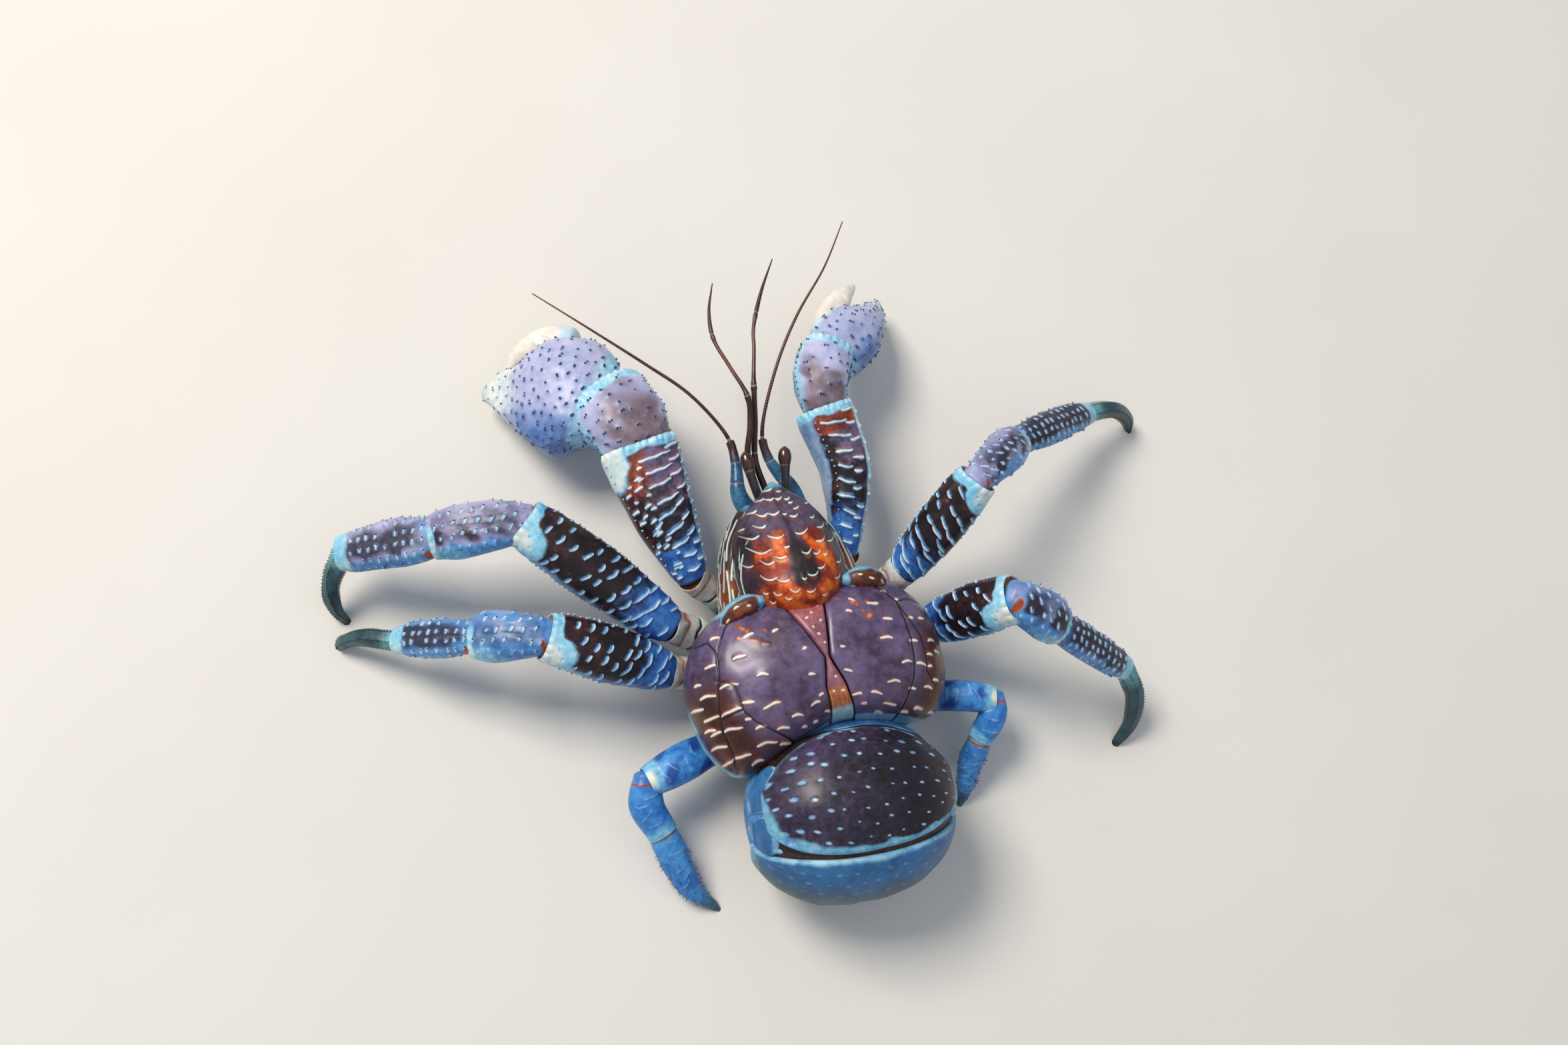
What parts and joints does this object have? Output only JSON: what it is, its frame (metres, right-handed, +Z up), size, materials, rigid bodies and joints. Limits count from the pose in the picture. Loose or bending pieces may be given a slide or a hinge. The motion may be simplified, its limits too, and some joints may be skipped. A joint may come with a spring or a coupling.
{
  "type": "coconut crab",
  "caption": "Life-size still model of a coconut crab, crouched on its legs with claws spread forward and its swollen tail folded under.",
  "frame": {"origin": "on the floor under the middle of the bounding box", "axes": "+Y towards the animal's head, +X towards its right side, +Z up; legs and tail stand on z = 0"},
  "size_m": [0.4504, 0.3384, 0.09],
  "materials": {
    "rust": "satin shell, rust red to dark purple",
    "purple": "satin shell, dark purple brown with pale ridges",
    "blue": "satin shell, bright blue",
    "lavender": "satin shell, lavender blue with dark points",
    "bone": "satin shell, bone white",
    "teal": "satin shell, dark teal with black points",
    "feeler": "glossy dark brown, ringed",
    "eye": "wet gloss, red brown"
  },
  "bodies": {
    "root": {"head_shield": "rust", "back_wedge": "rust", "back_plate_left": "purple", "back_plate_right": "purple", "flank_left": "purple", "flank_right": "purple", "tail_plate_dark": "purple", "claw_left_arm": "purple", "claw_right_arm": "purple", "leg2_left_thigh": "purple", "leg3_left_thigh": "purple", "leg2_right_thigh": "purple", "leg3_right_thigh": "purple", "shoulder_plate_left": "blue", "shoulder_plate_right": "blue", "mouth_limbs": "blue", "tail_strip": "blue", "tail_plate_blue": "blue", "tail_belly": "blue", "leg4_left_thigh": "blue", "leg4_left_shin": "blue", "leg4_left_foot": "blue", "leg4_right_thigh": "blue", "leg4_right_shin": "blue", "leg4_right_foot": "blue", "claw_left_wrist": "lavender", "claw_left_palm": "lavender", "claw_right_wrist": "lavender", "claw_right_palm": "lavender", "leg2_left_shin": "lavender", "leg2_left_foot": "lavender", "leg3_left_shin": "lavender", "leg3_left_foot": "lavender", "leg2_right_shin": "lavender", "leg2_right_foot": "lavender", "leg3_right_shin": "lavender", "leg3_right_foot": "lavender", "breast_plate": "bone", "claw_left_finger": "bone", "claw_right_finger": "bone", "claw_left_base": "bone", "claw_right_base": "bone", "leg2_left_base": "bone", "leg3_left_base": "bone", "leg2_right_base": "bone", "leg3_right_base": "bone", "leg2_left_toe": "teal", "leg3_left_toe": "teal", "leg2_right_toe": "teal", "leg3_right_toe": "teal", "feeler_long_left": "feeler", "feeler_long_right": "feeler", "feeler_short_left": "feeler", "feeler_short_right": "feeler", "eye_left": "eye", "eye_right": "eye"}
  },
  "joints": []
}
